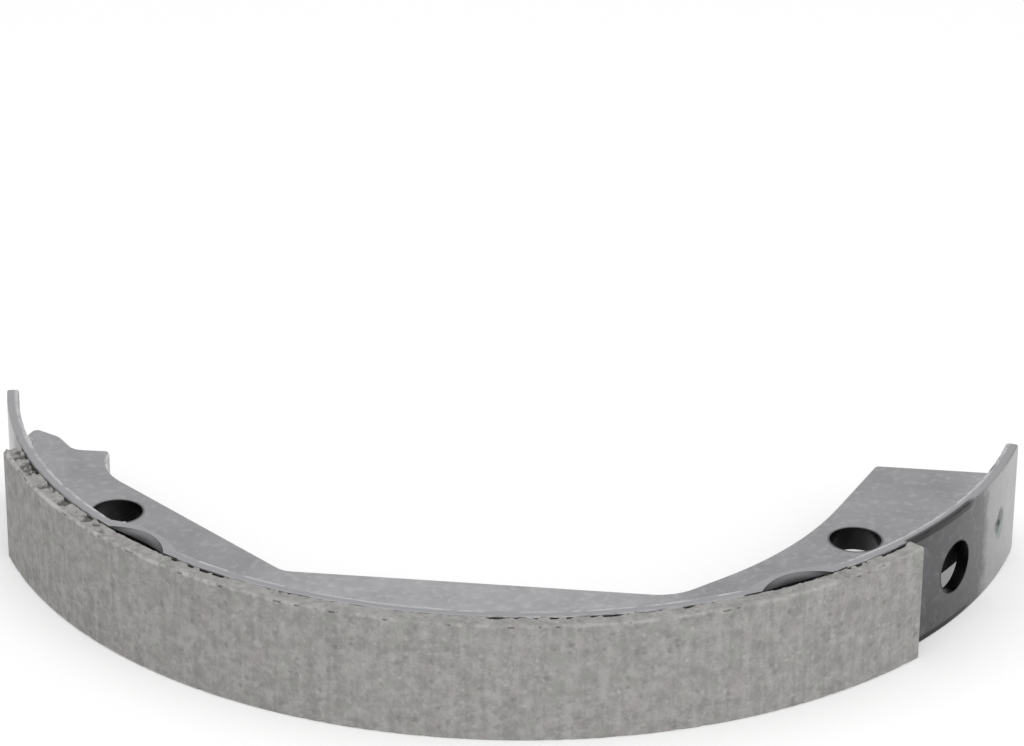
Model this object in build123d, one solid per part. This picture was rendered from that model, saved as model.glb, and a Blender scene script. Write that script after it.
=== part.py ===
from build123d import *
import os
from math import cos, degrees, hypot, radians, sin, sqrt, tan

# Drum brake shoe, in millimetres
# A rolled steel rim carries a bonded friction lining outside and a blanked steel web inside. The web is
# projection welded to the rim, so a row of small nuggets bridges the seam between the two.
# The pieces are made around the drum's axis, level with the shoe's lower edge. +Z is along that axis, and
# -Y points at the crown, the middle of the curve. Azimuths are in degrees from -Y, positive towards +X.
# The narrow end, with the nose, is on the -X side, and the wide end is on the +X side.
# Finished, the shoe is moved level so that its origin is the middle of its outline, on its lower edge.

# Friction lining and its adhesive
lining_radius = 90.0
lining_thickness = 2.85
lining_edge_break = 0.25
narrow_bare_angle = 15.3
wide_bare_angle = 27.7
bond_thickness = 0.15
bond_inset = 0.2

# Rim
rim_thickness = 2.0
rim_width = 20.0
rim_narrow_az = -78.5
rim_wide_az = 80.0
rim_edge_radius = 0.35
rim_tip_radius = 1.2
rim_hole_radius = 4.4
rim_hole_angle = 18.7

# Guide nibs: short lengths of both rim edges, pressed inwards by a round-nosed tool and then bevelled
nib_az = 37.0
nib_length = 13.6
nib_reach = 3.6
nib_depth = 1.8
bevel_reach = 1.2
bevel_depth = 3.2

# Web plate
web_thickness = 4.0
web_seam_gap = 0.4
web_edge_radius = 0.5
web_hole_radius = 4.2
web_crown_depth = 23.4
narrow_foot_az = -26.2
narrow_foot_radius = 4.0
wide_foot_az = 28.0
wide_foot_radius = 9.0
wide_sweep_radius = 70.0
wide_end_width = 21.8
wide_end_overrun = 4.0
wide_corner_radius = 1.0
narrow_sweep_radius = 12.0
shoulder_radius = 0.8
step_radius = 3.0
nose_heel_radius = 5.0
nose_tip_radius = 1.2

# Corners and holes of the web: the length along the web's edge from the rim's nearer tip, and the depth in
nose_root = (3.25, 0.0)
nose_tip = (-0.74, 1.9)
nose_heel = (3.1, 6.2)
step_foot = (8.86, 8.3)
shoulder = (10.93, 14.3)
narrow_arm_top = (18.83, 11.6)
narrow_hole = (36.91, 9.2)
wide_arm_top = (43.85, 18.1)
wide_hole = (33.37, 13.4)

# Weld nuggets, and the marks that the electrode leaves on the outside of the rim
weld_count = 8
weld_narrow_angle = 3.2
weld_wide_angle = 8.0
weld_radius = 1.7
weld_spread = 1.2
mark_radius = 1.5
mark_depth = 0.3

# How far a cutting shape runs past the faces that it cuts
cut_margin = 1.0

# Sizes that follow from those above
lining_width = rim_width
lining_narrow_az = rim_narrow_az + narrow_bare_angle
lining_wide_az = rim_wide_az - wide_bare_angle
bond_outer_radius = lining_radius - lining_thickness
rim_outer_radius = bond_outer_radius - bond_thickness
rim_inner_radius = rim_outer_radius - rim_thickness
web_outer_radius = rim_inner_radius - web_seam_gap
mid_height = rim_width / 2
rim_hole_az = rim_wide_az - rim_hole_angle
weld_narrow_az = rim_narrow_az + weld_narrow_angle
weld_wide_az = rim_wide_az - weld_wide_angle


def at(azimuth: float, radius: float, height: float = 0.0) -> Vector:
    """Point at an azimuth, a radius from the drum's axis and a height."""
    return Vector(radius * sin(radians(azimuth)), -radius * cos(radians(azimuth)), height)


def radial_plane(azimuth: float) -> Plane:
    """Plane through the drum's axis, with x along the radius and y up."""
    outward = at(azimuth, 1.0)
    return Plane(origin=(0, 0, 0), x_dir=outward, z_dir=outward.cross(Vector(0, 0, 1)))


def turned(section: Sketch, start_az: float, end_az: float) -> Part:
    """Section of radius and height, turned about the drum's axis from one azimuth to another."""
    return revolve(radial_plane(start_az) * section, Axis.Z, end_az - start_az)


def band(inner_radius: float, outer_radius: float, width: float, start_az: float, end_az: float) -> Part:
    """Plain curved strip, centred on the shoe's middle plane."""
    middle = Pos((inner_radius + outer_radius) / 2, mid_height)
    return turned(middle * Rectangle(outer_radius - inner_radius, width), start_az, end_az)


def skin(strip: Part, radius: float) -> Face:
    """The strip's curved face of the given radius."""
    return min(strip.faces().filter_by(GeomType.CYLINDER), key=lambda face: abs(face.radius - radius))


def friction_lining() -> Part:
    """Moulded strip, ground to the drum's radius, with its outer edges lightly broken."""
    strip = band(bond_outer_radius, lining_radius, lining_width, lining_narrow_az, lining_wide_az)
    return chamfer(skin(strip, lining_radius).edges(), lining_edge_break)


def bond_film() -> Part:
    """Cured adhesive between the lining and the rim, a little short of the lining's edges."""
    inset_angle = degrees(bond_inset / rim_outer_radius)
    width = lining_width - 2 * bond_inset
    start_az = lining_narrow_az + inset_angle
    end_az = lining_wide_az - inset_angle
    return band(rim_outer_radius, bond_outer_radius, width, start_az, end_az)


def nib_tool(reach: float, depth: float, standoff: float, side: int) -> Part:
    """Round-nosed pressing tool at azimuth 0, leaning so that it bites deepest at the rim's edge.

    Reach is how far below the edge its bite starts and depth is how deep it bites at the edge. Standoff
    thickens it, to give the far face of the pressed metal. Side is 1 for the upper edge, -1 for the lower.
    """
    slant = hypot(reach, depth)
    half_length = nib_length / 2
    sagitta = half_length**2 / (2 * rim_outer_radius)
    nose_radius = slant / reach * half_length**2 / (2 * (depth - sagitta))
    inset = depth / 2 - nose_radius * reach / slant
    height = rim_width - reach / 2 + nose_radius * depth / slant
    axis = Plane(origin=at(0, rim_outer_radius - inset, height), z_dir=(0, depth, reach))
    full_length = 6 * slant + 2 * nose_radius
    tool = axis * Cylinder(nose_radius + standoff, full_length)
    return tool if side > 0 else mirror(tool, Plane.XY.offset(mid_height))


def blank_rim() -> Part:
    """Rolled strip with rounded tips and lightly rounded edges, before it is pierced and pressed."""
    strip = band(rim_inner_radius, rim_outer_radius, rim_width, rim_narrow_az, rim_wide_az)
    tips = strip.faces().filter_by(GeomType.PLANE).filter_by(lambda face: abs(face.normal_at().Z) < 0.5)
    corners = [edge for tip in tips for edge in tip.edges() if abs(edge.tangent_at(0).Z) < 0.5]
    strip = fillet(corners, rim_tip_radius)
    long_edges = skin(strip, rim_outer_radius).edges() + skin(strip, rim_inner_radius).edges()
    return fillet(long_edges, rim_edge_radius)


def weld_azimuths() -> list[float]:
    """Evenly pitched azimuths of the weld nuggets."""
    pitch = (weld_wide_az - weld_narrow_az) / (weld_count - 1)
    return [weld_narrow_az + index * pitch for index in range(weld_count)]


def electrode_mark(azimuth: float) -> Part:
    """Shallow round dimple in the outside of the rim, opposite a weld nugget."""
    ball_radius = (mark_radius**2 + mark_depth**2) / (2 * mark_depth)
    return Pos(at(azimuth, rim_outer_radius - mark_depth + ball_radius, mid_height)) * Sphere(ball_radius)


def shoe_rim() -> Part:
    """Rim with its guide nibs, the round hole near the wide end and the marks on its bare ends."""
    rim = blank_rim()
    reserve = 2 * degrees(nib_length / rim_outer_radius)
    lip_inner_radius = rim_inner_radius - 2 * nib_depth
    lip_outer_radius = rim_inner_radius + rim_thickness / 2
    lip = band(lip_inner_radius, lip_outer_radius, rim_width, -reserve, reserve)
    for side in (1, -1):
        pushed = lip & nib_tool(nib_reach, nib_depth, rim_thickness, side)
        recess = nib_tool(nib_reach, nib_depth, 0, side)
        bevel = nib_tool(bevel_reach, bevel_depth, 0, side)
        for azimuth in (-nib_az, nib_az):
            rim += Rot(0, 0, azimuth) * pushed
            rim -= Rot(0, 0, azimuth) * recess
            rim -= Rot(0, 0, azimuth) * bevel
    drill = Cylinder(rim_hole_radius, rim_thickness + 2 * cut_margin)
    seat = at(rim_hole_az, rim_outer_radius - rim_thickness / 2, mid_height)
    rim -= Plane(origin=seat, z_dir=at(rim_hole_az, 1.0)) * drill
    for azimuth in weld_azimuths():
        if not lining_narrow_az < azimuth < lining_wide_az:
            rim -= electrode_mark(azimuth)
    return rim


def web_point(from_tip: tuple[float, float], tip_az: float) -> Vector:
    """Corner of the web, from its length along the web's outer edge from a rim tip and its depth in from it."""
    along, depth = from_tip
    inward = 1 if tip_az < 0 else -1
    return at(tip_az + inward * degrees(along / web_outer_radius), web_outer_radius - depth)


def web_outline() -> Sketch:
    """Flat shape of the web: the nose, the shoulder, the two arms with the crown between them, the wide end."""
    crown_distance = web_outer_radius - web_crown_depth
    end_y = wide_end_overrun - rim_inner_radius * cos(radians(rim_wide_az))
    end_x = sqrt(web_outer_radius**2 - end_y**2)
    corners = {
        web_point(nose_tip, rim_narrow_az): nose_tip_radius,
        web_point(nose_heel, rim_narrow_az): nose_heel_radius,
        web_point(step_foot, rim_narrow_az): step_radius,
        web_point(shoulder, rim_narrow_az): shoulder_radius,
        web_point(narrow_arm_top, rim_narrow_az): narrow_sweep_radius,
        Vector(crown_distance * tan(radians(narrow_foot_az)), -crown_distance): narrow_foot_radius,
        Vector(crown_distance * tan(radians(wide_foot_az)), -crown_distance): wide_foot_radius,
        web_point(wide_arm_top, rim_wide_az): wide_sweep_radius,
        Vector(end_x - wide_end_width, end_y): wide_corner_radius,
    }
    root = web_point(nose_root, rim_narrow_az)
    tip = Vector(end_x, end_y)
    inside = FilletPolyline(root, *corners, tip, radius=list(corners.values()))
    outside = ThreePointArc(tip, at(0, web_outer_radius), root)
    return make_face(inside + outside)


def shoe_web() -> Part:
    """Blanked plate with its two round holes; its upper inside edge is rounded by the blanking tool."""
    plate = extrude(Pos(0, 0, mid_height - web_thickness / 2) * web_outline(), web_thickness)
    rolled = plate.faces().sort_by(Axis.Z)[-1].outer_wire().edges().sort_by(SortBy.LENGTH)[:-1]
    plate = fillet(rolled, web_edge_radius)
    for hole, tip_az in ((narrow_hole, rim_narrow_az), (wide_hole, rim_wide_az)):
        centre = web_point(hole, tip_az) + Vector(0, 0, mid_height)
        plate -= Pos(centre) * Cylinder(web_hole_radius, web_thickness + 2 * cut_margin)
    return plate


def weld_nugget(azimuth: float, rim: Part, web: Part) -> Part:
    """Weld metal that fills the seam and stands up in the corner on both sides of the web."""
    half_height = web_thickness / 2 + weld_spread
    centre = at(azimuth, web_outer_radius + web_seam_gap / 2, mid_height)
    bead = Cylinder(weld_radius, 2 * (half_height - weld_radius))
    for side in (1, -1):
        bead += Pos(0, 0, side * (half_height - weld_radius)) * Sphere(weld_radius)
    return Pos(centre) * bead - rim - web


def brake_shoe() -> dict[str, Part]:
    """Every piece of the shoe, by name."""
    rim = shoe_rim()
    web = shoe_web()
    pieces = {
        "shoe_rim": rim,
        "shoe_web": web,
        "bond_film": bond_film(),
        "friction_lining": friction_lining(),
    }
    for number, azimuth in enumerate(weld_azimuths(), start=1):
        pieces[f"weld_nugget_{number}"] = weld_nugget(azimuth, rim, web)
    return pieces


def centred(pieces: dict[str, Part]) -> dict[str, Part]:
    """The pieces, moved so that the middle of the shoe's outline, on its lower edge, is the origin."""
    box = Compound(list(pieces.values())).bounding_box()
    shift = Pos(-box.center().X, -box.center().Y, -box.min.Z)
    return {name: shift * piece for name, piece in pieces.items()}


def export(pieces: dict[str, Part]) -> None:
    """Write each piece to a file of its own, named after it."""
    os.makedirs("parts", exist_ok=True)
    for name, piece in pieces.items():
        piece.label = name
        export_step(piece, f"parts/{name}.step")


export(centred(brake_shoe()))
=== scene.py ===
"""Looks for a drum brake shoe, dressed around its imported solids.

The shoe lies on its side on a pale floor: a painted steel rim and web, and a friction lining bonded outside.
Lengths are in metres. The pieces follow the drum's axis: azimuth is counted from the crown, on the -Y side,
and is positive towards +X, radius is counted from the axis, and height from the floor.

A field that ends in _at holds the two ends of a smooth step, and one that ends in _share is a strength or a
part of the whole, from 0 to 1. One that ends in _scuffed holds a mark's strength without scuffs and what
they add to it.
"""

import logging
import math
from dataclasses import dataclass
from enum import Enum
from typing import Any

import bpy
import numpy as np
from mathutils import Matrix, Vector


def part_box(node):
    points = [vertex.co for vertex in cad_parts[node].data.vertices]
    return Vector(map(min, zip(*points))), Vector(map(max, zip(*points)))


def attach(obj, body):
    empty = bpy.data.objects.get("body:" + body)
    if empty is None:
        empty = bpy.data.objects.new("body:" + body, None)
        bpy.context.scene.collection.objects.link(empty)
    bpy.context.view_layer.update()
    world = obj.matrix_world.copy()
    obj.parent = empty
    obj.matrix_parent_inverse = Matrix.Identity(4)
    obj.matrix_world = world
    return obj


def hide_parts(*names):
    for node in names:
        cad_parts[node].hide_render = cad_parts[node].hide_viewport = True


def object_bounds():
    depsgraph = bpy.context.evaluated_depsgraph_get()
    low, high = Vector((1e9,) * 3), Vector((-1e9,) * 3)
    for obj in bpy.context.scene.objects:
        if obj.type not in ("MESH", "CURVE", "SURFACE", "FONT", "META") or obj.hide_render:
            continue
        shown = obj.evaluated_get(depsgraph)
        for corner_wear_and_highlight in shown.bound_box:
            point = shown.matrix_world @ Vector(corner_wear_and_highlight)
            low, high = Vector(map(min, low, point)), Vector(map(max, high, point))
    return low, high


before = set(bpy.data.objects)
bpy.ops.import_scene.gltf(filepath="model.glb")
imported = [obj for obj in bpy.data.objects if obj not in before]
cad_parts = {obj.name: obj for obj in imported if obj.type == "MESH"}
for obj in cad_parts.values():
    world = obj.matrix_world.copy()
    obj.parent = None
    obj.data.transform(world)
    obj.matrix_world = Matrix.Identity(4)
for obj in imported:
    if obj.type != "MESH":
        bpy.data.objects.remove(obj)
cad_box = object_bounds()

Array = np.ndarray
Colour = tuple[float, float, float]
Point = tuple[float, float, float]
Span = tuple[float, float]

BODY = "root"
WHITE = (1.0, 1.0, 1.0, 1.0)

DRUM_AXIS = (-0.000216, 0.05038)
RIM_OUTER_RADIUS = 0.087
RIM_MIDDLE = 0.010
NIB_AZIMUTH = 37.0
BEAD_INSET = 0.00018
WELD_COUNT = 8

LATTICE_PRIMES = (73856093, 19349663, 83492791)
SEED_STRIDE = 2654435761
BIT_MIXER = 0x9E3779B97F4A7C15
FRACTION_BITS = 24

log = logging.getLogger("brake_shoe")


class Slot(Enum):
    """Names of material slots in the record for the new pieces; the script doesn't use them."""

    WELD = "weld_metal"
    FILM = "adhesive"
    LINING = "lining"


# Shapes


def around(azimuth: Array, radius: Array, height: Array) -> Array:
    """Points around the drum's axis.

    Args:
        azimuth: Angles from the crown, in degrees.
        radius: Distances from the drum's axis.
        height: Heights above the floor.

    Returns:
        Points, with x = axis + radius times the sine and y = axis - radius times the cosine of the azimuth.
    """
    turn = np.radians(azimuth)
    x = DRUM_AXIS[0] + radius * np.sin(turn)
    y = DRUM_AXIS[1] - radius * np.cos(turn)
    return np.stack(np.broadcast_arrays(x, y, height), axis=-1)


def scatter(cells: Array, seed: int) -> Array:
    """Random-looking numbers from 0 to 1, the same on each run.

    Args:
        cells: Whole-numbered lattice points, the last axis being x, y, z.
        seed: Picks one of many such patterns.

    Returns:
        One number for each lattice point: the coordinates times large primes, added, then folded by shifts.
    """
    mixed = (cells * np.array(LATTICE_PRIMES, dtype=np.int64)).sum(axis=-1).astype(np.uint64)
    mixed = mixed + np.uint64(seed * SEED_STRIDE)
    mixed = (mixed ^ (mixed >> np.uint64(31))) * np.uint64(BIT_MIXER)
    mixed = mixed ^ (mixed >> np.uint64(29))
    whole = 1 << FRACTION_BITS
    return (mixed & np.uint64(whole - 1)).astype(float) / whole


def noise(points: Array, cell: float, seed: int) -> Array:
    """Smooth noise from 0 to 1.

    Args:
        points: Points, the last axis being x, y, z.
        cell: Size of the lattice that the noise is made on.
        seed: Picks one of many such patterns.

    Returns:
        Random values at the lattice points, blended between them by 3t^2 - 2t^3 along each axis.
    """
    scaled = points / cell
    base = np.floor(scaled).astype(np.int64)
    part = scaled - base
    blend = part * part * (3 - 2 * part)
    total = np.zeros(points.shape[:-1])
    for corner_wear_and_highlight in np.ndindex(2, 2, 2):
        near = np.where(np.array(corner_wear_and_highlight) == 1, blend, 1 - blend)
        total += near.prod(axis=-1) * scatter(base + np.array(corner_wear_and_highlight), seed)
    return total


def rough(points: Array, cell: float, seed: int, octaves: int = 3) -> Array:
    """Noise from 0 to 1 with finer noise on it: each octave has half the cell and half the weight.

    Args:
        points: Points, the last axis being x, y, z.
        cell: Size of the coarsest lattice.
        seed: Picks one of many such patterns.
        octaves: How many layers are added.

    Returns:
        The weighted mean of the layers.
    """
    weights = [0.5**step for step in range(octaves)]
    layers = [weight * noise(points, cell * weight, seed + step) for step, weight in enumerate(weights)]
    return sum(layers) / sum(weights)


def ramp(value: Array, low: float, high: float) -> Array:
    """Smooth step: 0 up to low, 1 from high, 3t^2 - 2t^3 between them."""
    part = np.clip((value - low) / (high - low), 0, 1)
    return part * part * (3 - 2 * part)


def spaced(start: float, end: float, step: float) -> Array:
    """Evenly spaced numbers from start up to, but not including, end, about a step apart."""
    count = max(1, round(abs(end - start) / step))
    return np.linspace(start, end, count, endpoint=False)


def signed_volume(points: Array, triangles: Array) -> float:
    """Volume inside a closed mesh: a sixth of the sum of a . (b x c), below 0 if its faces point inwards."""
    a, b, c = points[triangles[:, 0]], points[triangles[:, 1]], points[triangles[:, 2]]
    return float(np.einsum("ij,ij->i", a, np.cross(b, c)).sum() / 6)


def closed_skin(name: str, grid: Array) -> bpy.types.Object:
    """Closed mesh from a grid of points: each row is a ring, and each end ring closes to a pole.

    Args:
        name: Name of the piece.
        grid: Points, as rings by points around the ring by x, y, z, the rings in order along the piece.

    Returns:
        The piece, at the origin, with its place in its mesh and its faces pointing outwards.
    """
    rings, around_ring, _ = grid.shape
    poles = np.stack([grid[0].mean(axis=0), grid[-1].mean(axis=0)])
    points = np.concatenate([grid.reshape(-1, 3), poles])
    index = np.arange(rings * around_ring).reshape(rings, around_ring)
    ahead = np.roll(index, -1, axis=1)
    quads = np.stack([index[:-1], ahead[:-1], ahead[1:], index[1:]], axis=-1).reshape(-1, 4)
    first, last = rings * around_ring, rings * around_ring + 1
    start_cap = np.stack([ahead[0], index[0], np.full(around_ring, first)], axis=-1)
    end_cap = np.stack([index[-1], ahead[-1], np.full(around_ring, last)], axis=-1)
    faces = quads.tolist() + start_cap.tolist() + end_cap.tolist()
    mesh = bpy.data.meshes.new(name)
    mesh.from_pydata(points.tolist(), [], faces)
    mesh.validate()
    mesh.update()
    triangles = np.concatenate([quads[:, :3], quads[:, [0, 2, 3]], start_cap, end_cap])
    if signed_volume(points, triangles) < 0:
        mesh.flip_normals()
    mesh.shade_smooth()
    piece = bpy.data.objects.new(name, mesh)
    bpy.context.scene.collection.objects.link(piece)
    return piece


# Finishes


@dataclass(frozen=True)
class Value:
    """A number, vector or colour that varies over a surface: an output socket, with arithmetic on numbers."""

    graph: "Graph"
    socket: bpy.types.NodeSocket | None

    def maths(self, operation: str, first: Any, second: Any = 0.0) -> "Value":
        """Math node of two numbers."""
        return self.graph.node("ShaderNodeMath", {"operation": operation}, {0: first, 1: second})

    def __add__(self, other: Any) -> "Value":
        """Self plus other."""
        return self.maths("ADD", self, other)

    def __radd__(self, other: Any) -> "Value":
        """Other plus self."""
        return self.maths("ADD", other, self)

    def __sub__(self, other: Any) -> "Value":
        """Self minus other."""
        return self.maths("SUBTRACT", self, other)

    def __rsub__(self, other: Any) -> "Value":
        """Other minus self."""
        return self.maths("SUBTRACT", other, self)

    def __mul__(self, other: Any) -> "Value":
        """Self times other."""
        return self.maths("MULTIPLY", self, other)

    def __rmul__(self, other: Any) -> "Value":
        """Other times self."""
        return self.maths("MULTIPLY", other, self)

    def __truediv__(self, other: Any) -> "Value":
        """Self divided by other."""
        return self.maths("DIVIDE", self, other)

    def __abs__(self) -> "Value":
        """Size of self."""
        return self.maths("ABSOLUTE", self)

    def power(self, exponent: float) -> "Value":
        """Self to a power."""
        return self.maths("POWER", self, exponent)

    def lower(self, other: Any) -> "Value":
        """The smaller of self and other."""
        return self.maths("MINIMUM", self, other)

    def higher(self, other: Any) -> "Value":
        """The larger of self and other."""
        return self.maths("MAXIMUM", self, other)


class Graph:
    """The node tree of one finish."""

    def __init__(self, name: str) -> None:
        """Start an empty material.

        Args:
            name: Name of the material.
        """
        self.material = bpy.data.materials.new(name)
        self.material.use_nodes = True
        self.tree = self.material.node_tree
        self.tree.nodes.clear()

    @classmethod
    def of_tree(cls, tree: bpy.types.NodeTree) -> "Graph":
        """Work on a tree that is already there, such as the world's."""
        graph = cls.__new__(cls)
        graph.tree = tree
        return graph

    def node(self, kind: str, settings: dict[str, Any], inputs: dict[Any, Any], output: Any = 0) -> Value:
        """Create any node.

        Args:
            kind: The node's type.
            settings: Its settings, set first.
            inputs: Values or links of its sockets, by name or number.
            output: Which output to return.

        Returns:
            The output, as a value, which holds no socket where the node has none.
        """
        made = self.tree.nodes.new(kind)
        for key, setting in settings.items():
            setattr(made, key, setting)
        for key, given in inputs.items():
            if isinstance(given, Value):
                self.tree.links.new(given.socket, made.inputs[key])
            else:
                made.inputs[key].default_value = given
        return Value(self, made.outputs[output] if made.outputs else None)

    def place(self) -> Value:
        """Object coordinates, in metres."""
        return self.node("ShaderNodeTexCoord", {}, {}, "Object")

    def normal(self) -> Value:
        """The surface's normal, along the scene's axes."""
        return self.node("ShaderNodeNewGeometry", {}, {}, "Normal")

    def noise(self, where: Value, cell: float, detail: float = 2.0, roughness: float = 0.5) -> Value:
        """Noise from 0 to 1.

        Args:
            where: The coordinates that it is read at.
            cell: Rough size of its blobs.
            detail: How many finer layers it has.
            roughness: How strong they are.

        Returns:
            The noise.
        """
        inputs = {"Vector": where, "Scale": 1 / cell, "Detail": detail, "Roughness": roughness}
        return self.node("ShaderNodeTexNoise", {"noise_dimensions": "3D"}, inputs, 0)

    def step(self, value: Value, low: float, high: float) -> Value:
        """Smooth step from 0 at low to 1 at high."""
        inputs = {"Value": value, "From Min": low, "From Max": high, "To Min": 0.0, "To Max": 1.0}
        return self.node("ShaderNodeMapRange", {"interpolation_type": "SMOOTHSTEP"}, inputs, 0)

    def disc(self, across: Value, up: Value, inner: float, outer: float) -> Value:
        """Round mask of two lengths from its middle: 1 up to the inner radius, 0 from the outer one."""
        return 1 - self.step((across * across + up * up).power(0.5), inner, outer)

    def mix(self, factor: Any, first: Any, second: Any) -> Value:
        """Colour between two colours.

        Args:
            factor: 0 gives the first and 1 the second.
            first: Colour or value.
            second: Colour or value.

        Returns:
            The mixed colour.
        """
        pair = [given if isinstance(given, Value) else (*given, 1.0) for given in (first, second)]
        inputs = {0: factor, 6: pair[0], 7: pair[1]}
        return self.node("ShaderNodeMix", {"data_type": "RGBA"}, inputs, 2)

    def split(self, vector: Value) -> tuple[Value, Value, Value]:
        """The x, y and z of a vector."""
        parts = [self.node("ShaderNodeSeparateXYZ", {}, {0: vector}, number) for number in range(3)]
        return parts[0], parts[1], parts[2]

    def join(self, x: Any, y: Any, z: Any) -> Value:
        """A vector of three numbers."""
        return self.node("ShaderNodeCombineXYZ", {}, {0: x, 1: y, 2: z})

    def from_axis(self) -> tuple[Value, Value, Value, Value]:
        """Distances from the drum's axis towards +X and towards -Y, the radius that they make, and height."""
        x, y, height = self.split(self.place())
        across = x - DRUM_AXIS[0]
        down = DRUM_AXIS[1] - y
        return across, down, (across * across + down * down).power(0.5), height

    def drum_place(self) -> tuple[Value, Value, Value]:
        """Radius from the drum's axis, length around it at the lining's outside, and height."""
        across, down, radius, height = self.from_axis()
        turn = self.node("ShaderNodeMath", {"operation": "ARCTAN2"}, {0: across, 1: down})
        return radius, turn * FrictionLining.outer_radius, height

    def drum_facing(self) -> Value:
        """How far the surface faces away from the drum's axis: its normal's share along the radius."""
        across, down, radius, _ = self.from_axis()
        normal_x, normal_y, _ = self.split(self.normal())
        return (normal_x * across - normal_y * down) / radius

    def bump(self, height: Value, distance: float) -> Value:
        """Bumped normal, the height being in units of the distance."""
        return self.node("ShaderNodeBump", {}, {"Distance": distance, "Height": height})

    def finish(self, inputs: dict[str, Any]) -> bpy.types.Material:
        """Give the material its surface.

        Args:
            inputs: Values or links of the Principled shader's sockets.

        Returns:
            The material.
        """
        surface = self.node("ShaderNodeBsdfPrincipled", {}, inputs)
        self.node("ShaderNodeOutputMaterial", {}, {"Surface": surface})
        return self.material


@dataclass(frozen=True)
class PaintedSteel:
    """Thin dark paint over steel, worn bright along the edges with a painted highlight there too, and nearly
    black with painted shade in the holes.

    The wear and the painted highlight are read from the surface: an edge is rounded there, so its normal
    leans between up and sideways.
    """

    name: str
    paint: Colour
    bare: Colour = (0.62, 0.62, 0.63)
    # Near-black painted shade, also standing for a painted dark reflection: used in holes, nibs, at the web's
    # seam and along the rim's outer edges.
    painted_shade: Colour = (0.015, 0.015, 0.016)
    metallic: float = 0.9
    smooth: float = 0.2
    dull: float = 0.36
    dull_at: Span = (0.3, 0.75)
    patch: float = 0.009
    darkest: float = 0.7
    lightest: float = 1.3
    scuff: float = 0.003
    rounded_at: Span = (0.25, 0.9)
    wear_and_highlight_at: Span = (0.3, 0.6)
    wear_and_highlight_share: float = 0.75
    rubbed_at: Span = (0.5, 0.68)
    rubbed_share: float = 0.14
    grain: float = 0.0006
    speck_at: Span = (0.74, 0.82)
    speck_share: float = 0.12
    speck_rise: float = 0.4
    relief: float = 0.00003

    def marked(self, graph: Graph, colour: Value, lean: Value, scuffs: Value) -> Value:
        """Colour with the marks of one piece.

        Args:
            graph: The material's nodes.
            colour: The colour so far.
            lean: 1 where the surface faces up or down, 0 where it stands.
            scuffs: Noise.

        Returns:
            The marked colour.
        """
        return colour

    def material(self) -> bpy.types.Material:
        """Make the material."""
        graph = Graph(self.name)
        place = graph.place()
        lean = abs(graph.split(graph.normal())[2])
        rounded = graph.step(lean * (1 - lean) * 4, *self.rounded_at)
        patches = graph.noise(place, self.patch, 4.0, 0.6)
        scuffs = graph.noise(place, self.scuff, 3.0, 0.6)
        # Rounded edges: paint worn to bare steel, with a painted highlight on the same edges.
        worn_and_highlight = rounded * graph.step(scuffs, *self.wear_and_highlight_at) * self.wear_and_highlight_share
        specks = graph.step(graph.noise(place, self.grain * 2, 1.0), *self.speck_at)
        brightened = graph.step(graph.noise(place, self.scuff / 2, 2.0), *self.rubbed_at) * self.rubbed_share
        darker, lighter = (tuple(by * part for part in self.paint) for by in (self.darkest, self.lightest))
        tone = graph.mix(patches, darker, lighter)
        colour = graph.mix((worn_and_highlight + brightened + specks * self.speck_share).lower(1.0), tone, self.bare)
        roughness = self.smooth + graph.step(patches, *self.dull_at) * (self.dull - self.smooth)
        orange_peel = graph.noise(place, self.grain * 3, 2.0)
        return graph.finish({
            "Base Color": self.marked(graph, colour, lean, scuffs),
            "Metallic": self.metallic,
            "Roughness": roughness,
            "Normal": graph.bump(orange_peel + specks * self.speck_rise, self.relief),
        })


@dataclass(frozen=True)
class RimPlace:
    """Where a point of the rim lies, up being from the middle of its width, and how its surface is."""

    radius: Value
    along: Value
    up: Value
    lean: Value
    scuffs: Value
    nibs: Value
    outside: Value


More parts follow.
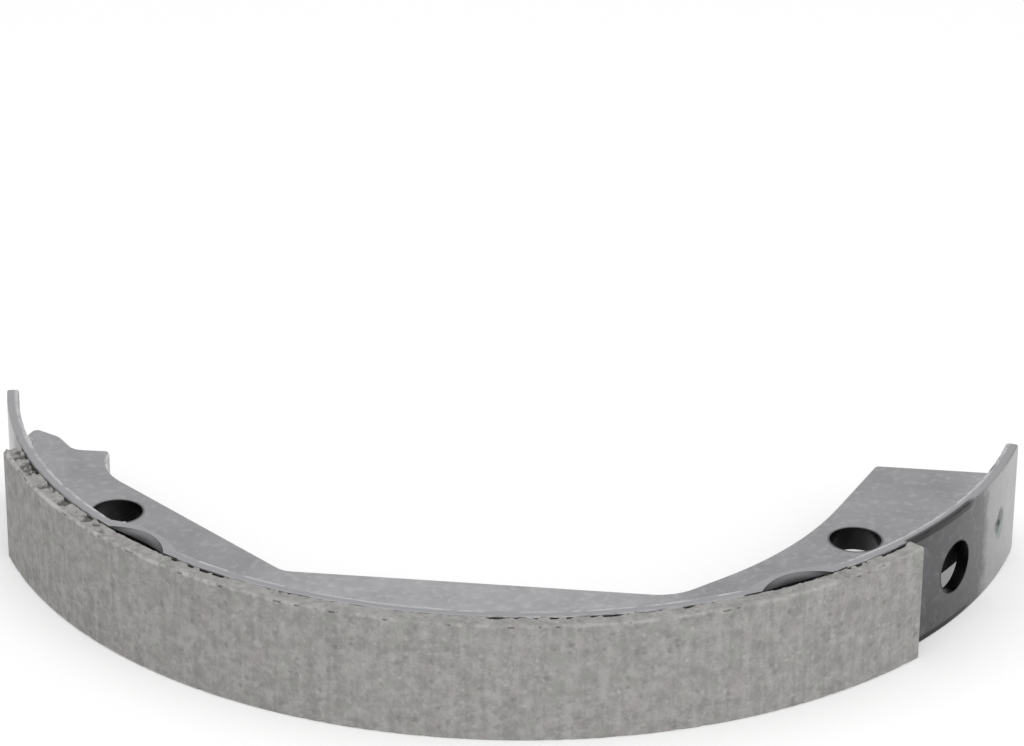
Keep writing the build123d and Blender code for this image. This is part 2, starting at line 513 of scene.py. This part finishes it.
@dataclass(frozen=True)
class RimPaint(PaintedSteel):
    """The rim's paint: paler on the strip's cut edges, with painted shade in its nibs and hole and a painted
    dark reflection along its outer edges, paler outside near its ends, and scorched at its ends.

    Azimuths are in degrees, and pale_end_at is a length past the pale_end_azimuths. The scorched spots are
    round, and reach is their radius. The halo's width and height are divided by halo_squeeze, and its drop is
    in spot radii.
    """

    edge: Colour = (0.3, 0.3, 0.312)
    cut_at: Span = (0.75, 0.95)
    outside_at: Span = (0.0861, 0.0865)
    inside_at: Span = (0.0854, 0.0859)
    inside_lean_at: Span = (0.3, 0.6)
    inside_scuffs_at: Span = (0.35, 0.55)
    corner_wear_and_highlight_share: float = 0.6
    nib_half_angle: float = 6.6
    nib_fade: float = 0.0008
    nib_facing_at: Span = (0.05, 0.2)
    nib_foot_at: Span = (0.0055, 0.0060)
    nib_top_at: Span = (0.9, 0.97)
    nib_depth_at: Span = (0.0001, 0.0006)
    nib_share: float = 0.9
    pale_end_colour: Colour = (0.305, 0.305, 0.31)
    pale_end_azimuths: Span = (-66.0, 67.8)
    pale_end_at: Span = (-0.0008, 0.0028)
    pale_end_ragged: float = 0.004
    pale_end_scuffed: Span = (0.7, 0.5)
    dark_edge_to: float = 65.5
    dark_edge_width: float = 0.0010
    dark_edge_fade: float = 0.0002
    dark_edge_start: float = 0.001
    dark_edge_end: float = 0.003
    dark_edge_share: float = 0.85
    burn: Colour = (0.02, 0.026, 0.024)
    burn_azimuths: Span = (-75.5, 73.1)
    burn_reach: float = 0.0018
    burn_rise: float = 0.0012
    burn_at: Span = (0.6, 1.15)
    burn_scuffed: Span = (0.65, 0.6)
    tarnish: Colour = (0.11, 0.15, 0.14)
    halo_at: Span = (0.6, 1.1)
    halo_squeeze: Span = (0.8, 0.6)
    halo_drop: float = 0.75
    halo_share: float = 0.8
    halo_scuffed: Span = (0.4, 1.0)
    hole_azimuth: float = 61.3
    hole_at: Span = (0.0045, 0.0047)

    def length(self, azimuth: float) -> float:
        """Length around the drum's axis, as drum_place measures it, from the crown to an azimuth."""
        return math.radians(azimuth) * FrictionLining.outer_radius

    def uneven(self, scuffs: Value, scuffed: Span) -> Value:
        """Strength of a mark that the scuffs make uneven, at most 1."""
        return (scuffed[0] + scuffs * scuffed[1]).lower(1.0)

    def edges(self, graph: Graph, colour: Value, at: RimPlace) -> Value:
        """Colour with pale cut edges, and the inner corner worn bright with a painted highlight on it, apart
        from the nibs.
        """
        colour = graph.mix(graph.step(at.lean, *self.cut_at), colour, self.edge)
        # Inner corner: worn bright, with a painted highlight on it.
        inside = 1 - graph.step(at.radius, *self.inside_at)
        corner_wear_and_highlight = inside * graph.step(at.lean, *self.inside_lean_at)
        corner_wear_and_highlight = corner_wear_and_highlight * graph.step(at.scuffs, *self.inside_scuffs_at) * (1 - at.nibs * self.nib_share)
        return graph.mix(corner_wear_and_highlight * self.corner_wear_and_highlight_share, colour, self.bare)

    def recesses(self, graph: Graph, colour: Value, at: RimPlace) -> Value:
        """Colour with painted shade on the outward side of the nibs, darker away from the strip's edge."""
        # Painted shade in the nibs' recesses, between the lining and the pressed lip.
        recess_shade = at.nibs * graph.step(graph.drum_facing(), *self.nib_facing_at)
        recess_shade = recess_shade * graph.step(abs(at.up), *self.nib_foot_at)
        colour = graph.mix(recess_shade * (1 - graph.step(at.lean, *self.nib_top_at)), colour, self.painted_shade)
        below_edge = graph.step(RIM_MIDDLE - abs(at.up), *self.nib_depth_at)
        return graph.mix(recess_shade * below_edge * self.nib_share, colour, self.painted_shade)

    def pale_ends(self, graph: Graph, colour: Value, at: RimPlace) -> Value:
        """Colour paler outside, past a ragged line near each end."""
        start, end = (self.length(azimuth) for azimuth in self.pale_end_azimuths)
        half = (end - start) / 2
        past = abs(at.along - (start + end) / 2) + (at.scuffs - 0.5) * self.pale_end_ragged
        ends = graph.step(past, half + self.pale_end_at[0], half + self.pale_end_at[1])
        return graph.mix(ends * at.outside * self.uneven(at.scuffs, self.pale_end_scuffed), colour, self.pale_end_colour)

    def dark_edge(self, graph: Graph, colour: Value, at: RimPlace) -> Value:
        """Colour with a painted dark reflection along the rounded outer edges, from the lining's wide end on.
        """
        inner = RIM_MIDDLE - self.dark_edge_width
        dark_reflection_band = graph.step(abs(at.up), inner - self.dark_edge_fade, inner)
        start, end = self.length(FrictionLining.wide_az), self.length(self.dark_edge_to)
        reach = graph.step(at.along, start - self.dark_edge_start, start)
        reach = reach * (1 - graph.step(at.along, end - self.dark_edge_end, end))
        return graph.mix(dark_reflection_band * at.outside * reach * self.dark_edge_share, colour, self.painted_shade)

    def scorched(self, graph: Graph, colour: Value, at: RimPlace) -> Value:
        """Colour with a burnt spot and its tarnished halo near each end."""
        for azimuth in self.burn_azimuths:
            across = (at.along - self.length(azimuth)) / self.burn_reach
            rise = (at.up - self.burn_rise) / self.burn_reach
            wide, high = across * self.halo_squeeze[0], (rise + self.halo_drop) * self.halo_squeeze[1]
            halo = graph.disc(wide, high, *self.halo_at) * self.halo_share
            spot = graph.disc(across, rise, *self.burn_at)
            halo = halo * self.uneven(at.scuffs, self.halo_scuffed) * at.outside
            spot = spot * self.uneven(at.scuffs, self.burn_scuffed) * at.outside
            colour = graph.mix(spot, graph.mix(halo, colour, self.tarnish), self.burn)
        return colour

    def marked(self, graph: Graph, colour: Value, lean: Value, scuffs: Value) -> Value:
        """Colour with the rim's edges, painted shade in its nibs, pale ends, a painted dark reflection along
        its outer edges, scorched spots and painted shade in its hole.

        Args:
            graph: The material's nodes.
            colour: The colour so far.
            lean: 1 where the surface faces up or down, 0 where it stands.
            scuffs: Noise.

        Returns:
            The marked colour.
        """
        radius, along, height = graph.drum_place()
        nib_half = self.length(self.nib_half_angle)
        from_nib = abs(abs(along) - self.length(NIB_AZIMUTH))
        nibs = 1 - graph.step(from_nib, nib_half - self.nib_fade, nib_half)
        outside = graph.step(radius, *self.outside_at)
        at = RimPlace(radius, along, height - RIM_MIDDLE, lean, scuffs, nibs, outside)
        for mark in (self.edges, self.recesses, self.pale_ends, self.dark_edge, self.scorched):
            colour = mark(graph, colour, at)
        # Painted shade in the hole through the rim.
        to_rim = RIM_OUTER_RADIUS / FrictionLining.outer_radius
        from_hole = (along - self.length(self.hole_azimuth)) * to_rim
        return graph.mix(graph.disc(from_hole, at.up, *self.hole_at), colour, self.painted_shade)


@dataclass(frozen=True)
class WebPaint(PaintedSteel):
    """The web's paint: rubbed bare along the seam and over the crown with a painted highlight there too, and
    with painted shade along its edge at the seam and in its two holes.
    """

    holes: tuple[Span, ...] = ((-0.0608288, 0.0055331), (0.0597666, 0.0120196))
    hole_at: Span = (0.0042, 0.0048)
    seam_at: Span = (0.076, 0.082)
    seam_rub_and_highlight_share: float = 0.12
    gap_at: Span = (0.0844, 0.0845)
    crown_at: Span = (0.030, 0.055)
    crown_rub_and_highlight_share: float = 0.22
    flat_at: Span = (0.8, 0.95)
    rub_and_highlight_scuffed: Span = (0.2, 1.6)

    def marked(self, graph: Graph, colour: Value, lean: Value, scuffs: Value) -> Value:
        """Colour with the seam and crown rubbed bare and given a painted highlight, and painted shade at the
        seam's edge and in the holes.

        Args:
            graph: The material's nodes.
            colour: The colour so far.
            lean: 1 where the surface faces up or down, 0 where it stands.
            scuffs: Noise.

        Returns:
            The marked colour.
        """
        radius, along, _ = graph.drum_place()
        # Seam and crown: rubbed bare, with a painted highlight there too.
        crown = 1 - graph.step(abs(along), *self.crown_at)
        brightened = graph.step(radius, *self.seam_at) * self.seam_rub_and_highlight_share + crown * self.crown_rub_and_highlight_share
        brightened = brightened * (self.rub_and_highlight_scuffed[0] + scuffs * self.rub_and_highlight_scuffed[1])
        colour = graph.mix(brightened * graph.step(lean, *self.flat_at), colour, self.bare)
        # Painted shade on the web's outer edge where it meets the rim.
        colour = graph.mix(graph.step(radius, *self.gap_at), colour, self.painted_shade)
        x, y, _ = graph.split(graph.place())
        # Painted shade in the two holes.
        for middle_x, middle_y in self.holes:
            hole_shade = graph.disc(x - middle_x, y - middle_y, *self.hole_at)
            colour = graph.mix(hole_shade, colour, self.painted_shade)
        return colour


@dataclass(frozen=True)
class GroundLining:
    """Mineral-filled friction material: matte, mottled, faintly streaked across the shoe, with grains.

    Pits in its top and bottom are darker, partly dark dust and partly painted shade, and its outer edges
    carry a pale painted highlight, stronger towards the narrow end. Steps that begin with edge are counted
    from the lining's outer radius, and those that begin with depth from its top or bottom.
    """

    name: str
    light: Colour = (0.375, 0.367, 0.358)
    dark: Colour = (0.255, 0.25, 0.244)
    shade_at: Span = (0.38, 0.62)
    green: Colour = (0.285, 0.297, 0.265)
    green_share: float = 0.5
    pink: Colour = (0.37, 0.335, 0.333)
    pink_share: float = 0.4
    tint_at: Span = (0.55, 0.75)
    speck: Colour = (0.10, 0.10, 0.10)
    speck_share: float = 0.28
    fleck: Colour = (0.55, 0.545, 0.53)
    fleck_share: float = 0.22
    dust_and_shade: Colour = (0.04, 0.038, 0.037)
    dust_and_shade_share: float = 0.7
    mottle: float = 0.0023
    grain: float = 0.0006
    grain_share: float = 0.16
    grain_fade: float = 0.02
    grain_ragged: float = 0.9
    grain_at: Span = (0.2, 0.5)
    edge_highlight_at: Span = (-0.0007, -0.0003)
    depth_highlight_at: Span = (0.00025, 0.0006)
    mottle_highlight_at: Span = (0.35, 0.6)
    narrow_end_at: Span = (-0.060, -0.020)
    edge_highlight_share: float = 0.2
    narrow_end_share: float = 0.35
    edge_flat_at: Span = (-0.0002, -0.00012)
    depth_pitted_at: Span = (0.00012, 0.00045)
    depth_side_at: Span = (0.0012, 0.0015)
    specular: float = 0.35
    relief: float = 0.00012

    def grains(self, graph: Graph, where: Value, cell: float, low: float) -> Value:
        """Scattered grains: 1 in the middle of those cells whose random number is in a band of grain_share.

        Args:
            graph: The material's nodes.
            where: Coordinates.
            cell: Size of the cells.
            low: Where the band of random numbers starts, from 0 to 1.

        Returns:
            The mask, fading towards the edge of each grain.
        """
        inputs = {"Vector": where, "Scale": 1 / cell, "Randomness": 1.0}
        distance = graph.node("ShaderNodeTexVoronoi", {"feature": "F1"}, inputs, "Distance")
        colour = graph.node("ShaderNodeTexVoronoi", {"feature": "F1"}, inputs, "Color")
        number = graph.node("ShaderNodeSeparateColor", {}, {0: colour}, 0)
        high = low + self.grain_share
        past = graph.step(number, high, high + self.grain_fade)
        chosen = graph.step(number, low, low + self.grain_fade) * (1 - past)
        ragged = distance + (graph.noise(where, cell / 2, 2.0) - 0.5) * self.grain_ragged
        return chosen * (1 - graph.step(ragged, *self.grain_at))

    def material(self) -> bpy.types.Material:
        """Make the material."""
        graph = Graph(self.name)
        radius, along, height = graph.drum_place()
        place = graph.join(along, radius, height)
        streaked = graph.join(along, radius, height * 0.1)
        mottle = graph.noise(place, self.mottle, 4.0, 0.65)
        streaks = graph.noise(streaked, self.mottle * 0.55, 3.0, 0.6)
        grain = graph.noise(place, self.grain, 2.0, 0.7)
        tint = graph.noise(place, self.mottle * 1.2, 2.0)
        shade = graph.step(mottle * 0.5 + streaks * 0.25 + grain * 0.25, *self.shade_at)
        colour = graph.mix(shade, self.dark, self.light)
        colour = graph.mix(graph.step(tint, *self.tint_at) * self.green_share, colour, self.green)
        colour = graph.mix(graph.step(1 - tint, *self.tint_at) * self.pink_share, colour, self.pink)
        specks = self.grains(graph, place, self.grain * 2.1, 0.1)
        flecks = self.grains(graph, place, self.grain * 1.6, 0.6)
        colour = graph.mix(specks * self.speck_share, colour, self.speck)
        colour = graph.mix(flecks * self.fleck_share, colour, self.fleck)
        from_edge = radius - FrictionLining.outer_radius
        middle = FrictionLining.height / 2
        depth = middle - abs(height - middle)
        # Painted highlight on the outer edges' chamfer, patchy with the mottle.
        pale_edge_highlight = graph.step(from_edge, *self.edge_highlight_at)
        pale_edge_highlight = pale_edge_highlight * (1 - graph.step(depth, *self.depth_highlight_at))
        pale_edge_highlight = pale_edge_highlight * graph.step(mottle, *self.mottle_highlight_at)
        narrow_end = 1 - graph.step(along, *self.narrow_end_at)
        pale_edge_highlight = pale_edge_highlight * (self.edge_highlight_share + narrow_end * self.narrow_end_share)
        colour = graph.mix(pale_edge_highlight, colour, self.fleck)
        # Pits in the top and bottom: dark dust and painted shade.
        flat = 1 - graph.step(from_edge, *self.edge_flat_at)
        pit_dust_and_shade = graph.step(depth, *self.depth_pitted_at) * flat
        pit_dust_and_shade = pit_dust_and_shade * (1 - graph.step(depth, *self.depth_side_at))
        colour = graph.mix(pit_dust_and_shade * self.dust_and_shade_share, colour, self.dust_and_shade)
        return graph.finish({
            "Base Color": colour,
            "Roughness": 0.8 + grain * 0.15,
            "Specular IOR Level": self.specular,
            "Normal": graph.bump(grain * 0.6 + streaks * 0.4, self.relief),
        })


@dataclass(frozen=True)
class WeldMetal:
    """Melted and painted weld metal: shiny, with bright bare places."""

    name: str
    paint: Colour = (0.12, 0.12, 0.12)
    bare: Colour = (0.62, 0.61, 0.59)
    bare_at: Span = (0.36, 0.5)
    metallic: float = 0.9
    cell: float = 0.0011
    relief: float = 0.00008

    def material(self) -> bpy.types.Material:
        """Make the material."""
        graph = Graph(self.name)
        place = graph.place()
        blobs = graph.noise(place, self.cell, 3.0, 0.6)
        return graph.finish({
            "Base Color": graph.mix(graph.step(blobs, *self.bare_at), self.paint, self.bare),
            "Metallic": self.metallic,
            "Roughness": 0.18 + blobs * 0.25,
            "Normal": graph.bump(graph.noise(place, self.cell * 0.6, 3.0), self.relief),
        })


@dataclass(frozen=True)
class CuredAdhesive:
    """Dark adhesive, set in the joint."""

    name: str
    colour: Colour = (0.022, 0.020, 0.018)
    ash: Colour = (0.07, 0.065, 0.06)
    ash_at: Span = (0.4, 0.7)
    cell: float = 0.0008
    relief: float = 0.00008

    def material(self) -> bpy.types.Material:
        """Make the material."""
        graph = Graph(self.name)
        lumps = graph.noise(graph.place(), self.cell, 3.0)
        return graph.finish({
            "Base Color": graph.mix(graph.step(lumps, *self.ash_at), self.colour, self.ash),
            "Roughness": 0.45 + lumps * 0.3,
            "Normal": graph.bump(lumps, self.relief),
        })


# Sub-assemblies


@dataclass(frozen=True)
class PlainParts:
    """The rim, the web and the adhesive film, which keep their solids' shape."""

    rim: RimPaint = RimPaint(
        "rim_paint",
        paint=(0.098, 0.098, 0.102),
        smooth=0.24,
        dull=0.33,
        wear_and_highlight_share=0.3,
        rubbed_share=0.06,
        patch=0.011,
    )
    web: WebPaint = WebPaint(
        "web_paint",
        paint=(0.265, 0.265, 0.275),
        painted_shade=(0.045, 0.045, 0.047),
        patch=0.007,
    )
    film: CuredAdhesive = CuredAdhesive("film_adhesive")

    def dress(self) -> None:
        """Give each node its material, in its own slot."""
        for node, finish in (("shoe_rim", self.rim), ("shoe_web", self.web), ("bond_film", self.film)):
            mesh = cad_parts[node].data
            material = finish.material()
            for slot in range(len(mesh.materials)):
                mesh.materials[slot] = material
            log.info("dressed %s", node)


@dataclass(frozen=True)
class FrictionLining:
    """Bonded lining, with crumbled edges and a pitted top near the narrow end.

    Chips are along the outer edges, and nicks along the inner ones, in runs and fewer by the nibs. The steps
    of chips, nicks, runs and pits are read from noise, and the other two from degrees.
    """

    outer_radius: float = 0.08998
    inner_radius: float = 0.08715
    height: float = 0.020
    narrow_az: float = -63.2
    wide_az: float = 52.3
    edge_break: float = 0.00025
    fine_step: float = 0.0002
    wide_step: float = 0.0007
    row_step: float = 0.00032
    chip_depth: float = 0.00032
    chip_reach: float = 0.0007
    chip_cell: float = 0.0014
    chip_at: Span = (0.52, 0.74)
    chip_draw: float = 0.7
    chip_seed: int = 11
    nick_depth: float = 0.00065
    nick_cell: float = 0.0012
    nick_at: Span = (0.48, 0.6)
    nick_draw: float = 0.8
    nick_seed: int = 23
    by_nib_at: Span = (4.5, 6.5)
    by_nib_share: float = 0.8
    run_cell: float = 0.0085
    run_at: Span = (0.35, 0.7)
    run_seed: int = 51
    pit_depth: float = 0.00045
    pit_cell: float = 0.0013
    pit_at: Span = (0.47, 0.6)
    pit_margin: float = 0.0011
    pit_seed: int = 37
    narrow_end_at: Span = (36.0, 44.0)
    elsewhere_share: float = 0.1
    lower_share: float = 0.35
    finish: GroundLining = GroundLining("lining_surface")

    def section(self) -> tuple[Array, Array]:
        """Radius and height around the cross-section, starting at the lower inside corner.

        Returns:
            Radii and heights: up the inside, out along the top, down the outside, in along the bottom.
        """
        inner, outer, top, cut = self.inner_radius, self.outer_radius, self.height, self.edge_break
        fine, finest = self.fine_step, self.fine_step / 2
        corners = [
            (inner, 0.0), (inner, top), (outer - cut, top), (outer, top - cut),
            (outer, top - 5 * cut), (outer, 5 * cut), (outer, cut), (outer - cut, 0.0),
        ]
        steps = [4 * self.wide_step, fine, finest, fine, self.wide_step, fine, finest, fine]
        radii, heights = [], []
        for start, end, step in zip(corners, corners[1:] + corners[:1], steps):
            count = len(spaced(0.0, math.dist(start, end), step))
            share = np.arange(count) / count
            radii.append(start[0] + (end[0] - start[0]) * share)
            heights.append(start[1] + (end[1] - start[1]) * share)
        return np.concatenate(radii), np.concatenate(heights)

    def by_edges(self, radius: Array, depth: Array, at_radius: float) -> Array:
        """How near points are to the top and bottom edges at a radius: 1 on an edge, 0 at chip_reach."""
        return 1 - ramp(np.hypot(radius - at_radius, depth), 0.0, self.chip_reach)

    def crumbled(self, azimuth: Array, radius: Array, height: Array) -> tuple[Array, Array]:
        """Section worn at its edges.

        Args:
            azimuth: Angles of the rings, in degrees.
            radius: Radii of the section's points.
            height: Heights of the section's points.

        Returns:
            Radii and heights, moved inwards: chips at the outer edges, nicks at the inner edges and pits in
            the top and the bottom, each a smooth step of noise times its depth.
        """
        points = around(azimuth, radius, height)
        middle = self.height / 2
        depth = np.minimum(self.height - height, height)
        side_share = np.where(height > middle, 1.0, self.lower_share)
        runs = ramp(noise(points, self.run_cell, self.run_seed), *self.run_at)
        by_nib = 1 - ramp(np.abs(np.abs(azimuth) - NIB_AZIMUTH), *self.by_nib_at)
        shelf_end = self.outer_radius - self.pit_margin
        shelf = 1 - ramp(radius, shelf_end, shelf_end + self.pit_margin / 2)
        narrow_end = ramp(-azimuth, *self.narrow_end_at)
        chip = ramp(rough(points, self.chip_cell, self.chip_seed), *self.chip_at) * self.chip_depth
        chip = chip * side_share * self.by_edges(radius, depth, self.outer_radius)
        nick = ramp(rough(points, self.nick_cell, self.nick_seed), *self.nick_at) * self.nick_depth
        nick = nick * side_share * runs * (1 - self.by_nib_share * by_nib)
        nick = nick * self.by_edges(radius, depth, self.inner_radius) * self.nick_draw
        pit = ramp(rough(points, self.pit_cell, self.pit_seed), *self.pit_at) * self.pit_depth
        pit = pit * side_share * shelf * (self.elsewhere_share + (1 - self.elsewhere_share) * narrow_end)
        flat = 1 - ramp(depth, 0.0, self.edge_break)
        new_radius = np.clip(radius - chip * self.chip_draw + nick, self.inner_radius, self.outer_radius)
        return new_radius, height + np.sign(middle - height) * (chip + nick + flat * pit)

    def build(self) -> bpy.types.Object:
        """Make the lining: the section carried along the arc, its end rings closing to poles.

        Returns:
            The lining, in place of its plain solid.
        """
        ring_radius, ring_height = self.section()
        row_angle = math.degrees(self.row_step / self.outer_radius)
        azimuth = np.append(spaced(self.narrow_az, self.wide_az, row_angle), self.wide_az)
        azimuth, radius, height = np.broadcast_arrays(azimuth[:, None], ring_radius, ring_height)
        radius, height = self.crumbled(azimuth, radius, height)
        piece = closed_skin("lining", around(azimuth, radius, height))
        piece.data.materials.append(self.finish.material())
        piece.data.shade_flat()
        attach(piece, BODY)
        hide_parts("friction_lining")
        log.info("built lining, %d faces", len(piece.data.polygons))
        return piece


@dataclass(frozen=True)
class AdhesiveBead:
    """Adhesive squeezed into the groove between the lining and the rim, in uneven dots."""

    name: str
    height: float
    radius: float = 0.08706
    thickest: float = 0.00017
    thinnest: float = 0.00004
    cell: float = 0.0014
    thick_at: Span = (0.46, 0.66)
    end_angle: float = 0.3
    row_step: float = 0.0003
    sides: int = 8
    seed: int = 5
    finish: CuredAdhesive = CuredAdhesive("bead_adhesive")

    def build(self) -> bpy.types.Object:
        """Make the bead: a round section, thick and thin by noise, carried along the joint.

        Returns:
            The bead.
        """
        row_angle = math.degrees(self.row_step / self.radius)
        start, end = FrictionLining.narrow_az + self.end_angle, FrictionLining.wide_az - self.end_angle
        azimuth = spaced(start, end, row_angle)[:, None]
        line = around(azimuth, np.array([self.radius]), np.array([self.height]))
        lumps = ramp(rough(line, self.cell, self.seed), *self.thick_at)
        thick = self.thinnest + (self.thickest - self.thinnest) * lumps
        turn = np.arange(self.sides) / self.sides * 2 * math.pi
        grid = around(azimuth, self.radius + thick * np.cos(turn), self.height + thick * np.sin(turn))
        piece = closed_skin(self.name, grid)
        piece.data.materials.append(self.finish.material())
        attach(piece, BODY)
        log.info("built %s", self.name)
        return piece


@dataclass(frozen=True)
class SeamWeld:
    """One projection weld: metal squeezed out above and below the web, lumpy and splashed along the seam."""

    number: int
    along: float = 0.0030
    inward: float = 0.0019
    upward: float = 0.0036
    seam_radius: float = 0.0846
    past_seam: float = 0.0016
    lump_cell: float = 0.0016
    lump_octaves: int = 4
    seed_step: int = 7
    smallest: float = 0.45
    lumpiness: float = 1.1
    rings: int = 48
    around_ring: int = 64

    def build(self, material: bpy.types.Material) -> bpy.types.Object:
        """Make the weld: an ellipsoid about the seam whose radius is scaled by rough noise.

        Args:
            material: The weld metal.

        Returns:
            The weld, in place of its plain nugget.
        """
        node = f"weld_nugget_{self.number}"
        low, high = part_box(node)
        middle = (low + high) / 2
        azimuth = math.degrees(math.atan2(middle.x - DRUM_AXIS[0], DRUM_AXIS[1] - middle.y))
        tilt = np.linspace(0, math.pi, self.rings + 2)[1:-1, None]
        turn = np.arange(self.around_ring) / self.around_ring * 2 * math.pi
        unit = np.stack(np.broadcast_arrays(
            np.sin(tilt) * np.cos(turn), np.sin(tilt) * np.sin(turn), np.cos(tilt)), axis=-1)
        seed = self.number * self.seed_step
        lumps = rough(unit * self.along + self.number, self.lump_cell, seed, self.lump_octaves)
        scale = self.smallest + self.lumpiness * lumps
        size = unit * scale[..., None] * np.array([self.along, self.inward, self.upward])
        turned = azimuth + np.degrees(size[..., 0] / self.seam_radius)
        radius = self.seam_radius + np.minimum(size[..., 1], self.past_seam)
        piece = closed_skin(f"weld_{self.number}", around(turned, radius, middle.z + size[..., 2]))
        piece.data.materials.append(material)
        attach(piece, BODY)
        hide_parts(node)
        log.info("built weld %d", self.number)
        return piece


@dataclass(frozen=True)
class Lamp:
    """Soft square lamp, aimed at the shoe."""

    name: str
    place: Point
    size: float
    watts: float

    def hang(self) -> None:
        """Hang the lamp in its place."""
        data = bpy.data.lights.new(self.name, "AREA")
        data.size, data.energy = self.size, self.watts
        lamp = bpy.data.objects.new(self.name, data)
        bpy.context.scene.collection.objects.link(lamp)
        lamp.location = self.place
        lamp.rotation_euler = (-Vector(self.place)).to_track_quat("-Z", "Y").to_euler()


@dataclass(frozen=True)
class Studio:
    """Pale floor, soft lamps, white surroundings and the camera.

    The floor's lift is a glow that only the camera, mirrors and glass see. The sky is the surroundings' light
    on everything else.
    """

    floor_half: float = 3.0
    floor_colour: Colour = (0.86, 0.86, 0.86)
    floor_lift: float = 0.2
    sky: float = 0.6
    lamps: tuple[Lamp, ...] = (
        Lamp("key", (-0.15, -0.25, 1.25), 2.0, 7.4),
        Lamp("fill", (0.7, -1.1, 0.75), 1.8, 9.0),
    )
    eye: Point = (0.072742, -0.566675, 0.311603)
    look: Point = (-0.107621, 0.898923, -0.424681)
    roll: float = 0.0077042
    lens: float = 140.625
    sensor: float = 36.0
    clip: Span = (0.01, 20.0)

    def seen(self, graph: Graph) -> Value:
        """1 for the rays that show the background: straight from the camera, mirrored or through glass."""
        rays = [graph.node("ShaderNodeLightPath", {}, {}, kind) for kind in (
            "Is Camera Ray", "Is Glossy Ray", "Is Transmission Ray")]
        return rays[0].higher(rays[1]).higher(rays[2])

    def camera(self) -> None:
        """Place the camera: it looks along the given line, and its right side is tipped up by the roll."""
        data = bpy.data.cameras.new("camera")
        data.lens, data.sensor_width = self.lens, self.sensor
        data.clip_start, data.clip_end = self.clip
        eye = bpy.data.objects.new("camera", data)
        bpy.context.scene.collection.objects.link(eye)
        look = Vector(self.look).normalized()
        right = look.cross(Vector((0, 0, 1))).normalized()
        up = right.cross(look)
        tipped_right = math.cos(self.roll) * right + math.sin(self.roll) * up
        tipped_up = math.cos(self.roll) * up - math.sin(self.roll) * right
        turned = Matrix((tipped_right, tipped_up, -look)).transposed()
        eye.matrix_world = Matrix.Translation(self.eye) @ turned.to_4x4()
        bpy.context.scene.camera = eye

    def floor(self) -> None:
        """Lay the floor at the shoe's lower edge."""
        half, low = self.floor_half, cad_box[0].z
        corners = [(-half, -half, low), (half, -half, low), (half, half, low), (-half, half, low)]
        mesh = bpy.data.meshes.new("floor")
        mesh.from_pydata(corners, [], [(0, 1, 2, 3)])
        floor = bpy.data.objects.new("floor", mesh)
        bpy.context.scene.collection.objects.link(floor)
        graph = Graph("floor_paper")
        cloth = graph.node("ShaderNodeBsdfDiffuse", {}, {"Color": (*self.floor_colour, 1.0)})
        glow = {"Color": WHITE, "Strength": self.seen(graph) * self.floor_lift}
        lift = graph.node("ShaderNodeEmission", {}, glow)
        both = graph.node("ShaderNodeAddShader", {}, {0: cloth, 1: lift})
        graph.node("ShaderNodeOutputMaterial", {}, {"Surface": both})
        mesh.materials.append(graph.material)

    def surroundings(self) -> None:
        """White to the camera, in mirrors and through glass, and a plain soft light on everything else."""
        world = bpy.data.worlds.new("surroundings")
        world.use_nodes = True
        bpy.context.scene.world = world
        world.node_tree.nodes.clear()
        graph = Graph.of_tree(world.node_tree)
        seen = self.seen(graph)
        strength = seen + (1 - seen) * self.sky
        glow = graph.node("ShaderNodeBackground", {}, {"Color": WHITE, "Strength": strength})
        graph.node("ShaderNodeOutputWorld", {}, {"Surface": glow})

    def build(self) -> None:
        """Set up the whole studio."""
        self.camera()
        self.floor()
        for lamp in self.lamps:
            lamp.hang()
        self.surroundings()
        bpy.context.scene.view_settings.view_transform = "Standard"


def main() -> None:
    """Set up the studio, then build and dress the shoe."""
    logging.basicConfig(level=logging.INFO)
    Studio().build()
    PlainParts().dress()
    FrictionLining().build()
    AdhesiveBead("adhesive_bead_top", FrictionLining.height - BEAD_INSET).build()
    AdhesiveBead("adhesive_bead_bottom", BEAD_INSET, seed=9).build()
    metal = WeldMetal("weld_surface").material()
    for number in range(1, WELD_COUNT + 1):
        SeamWeld(number).build(metal)


if __name__ == "__main__":
    main()
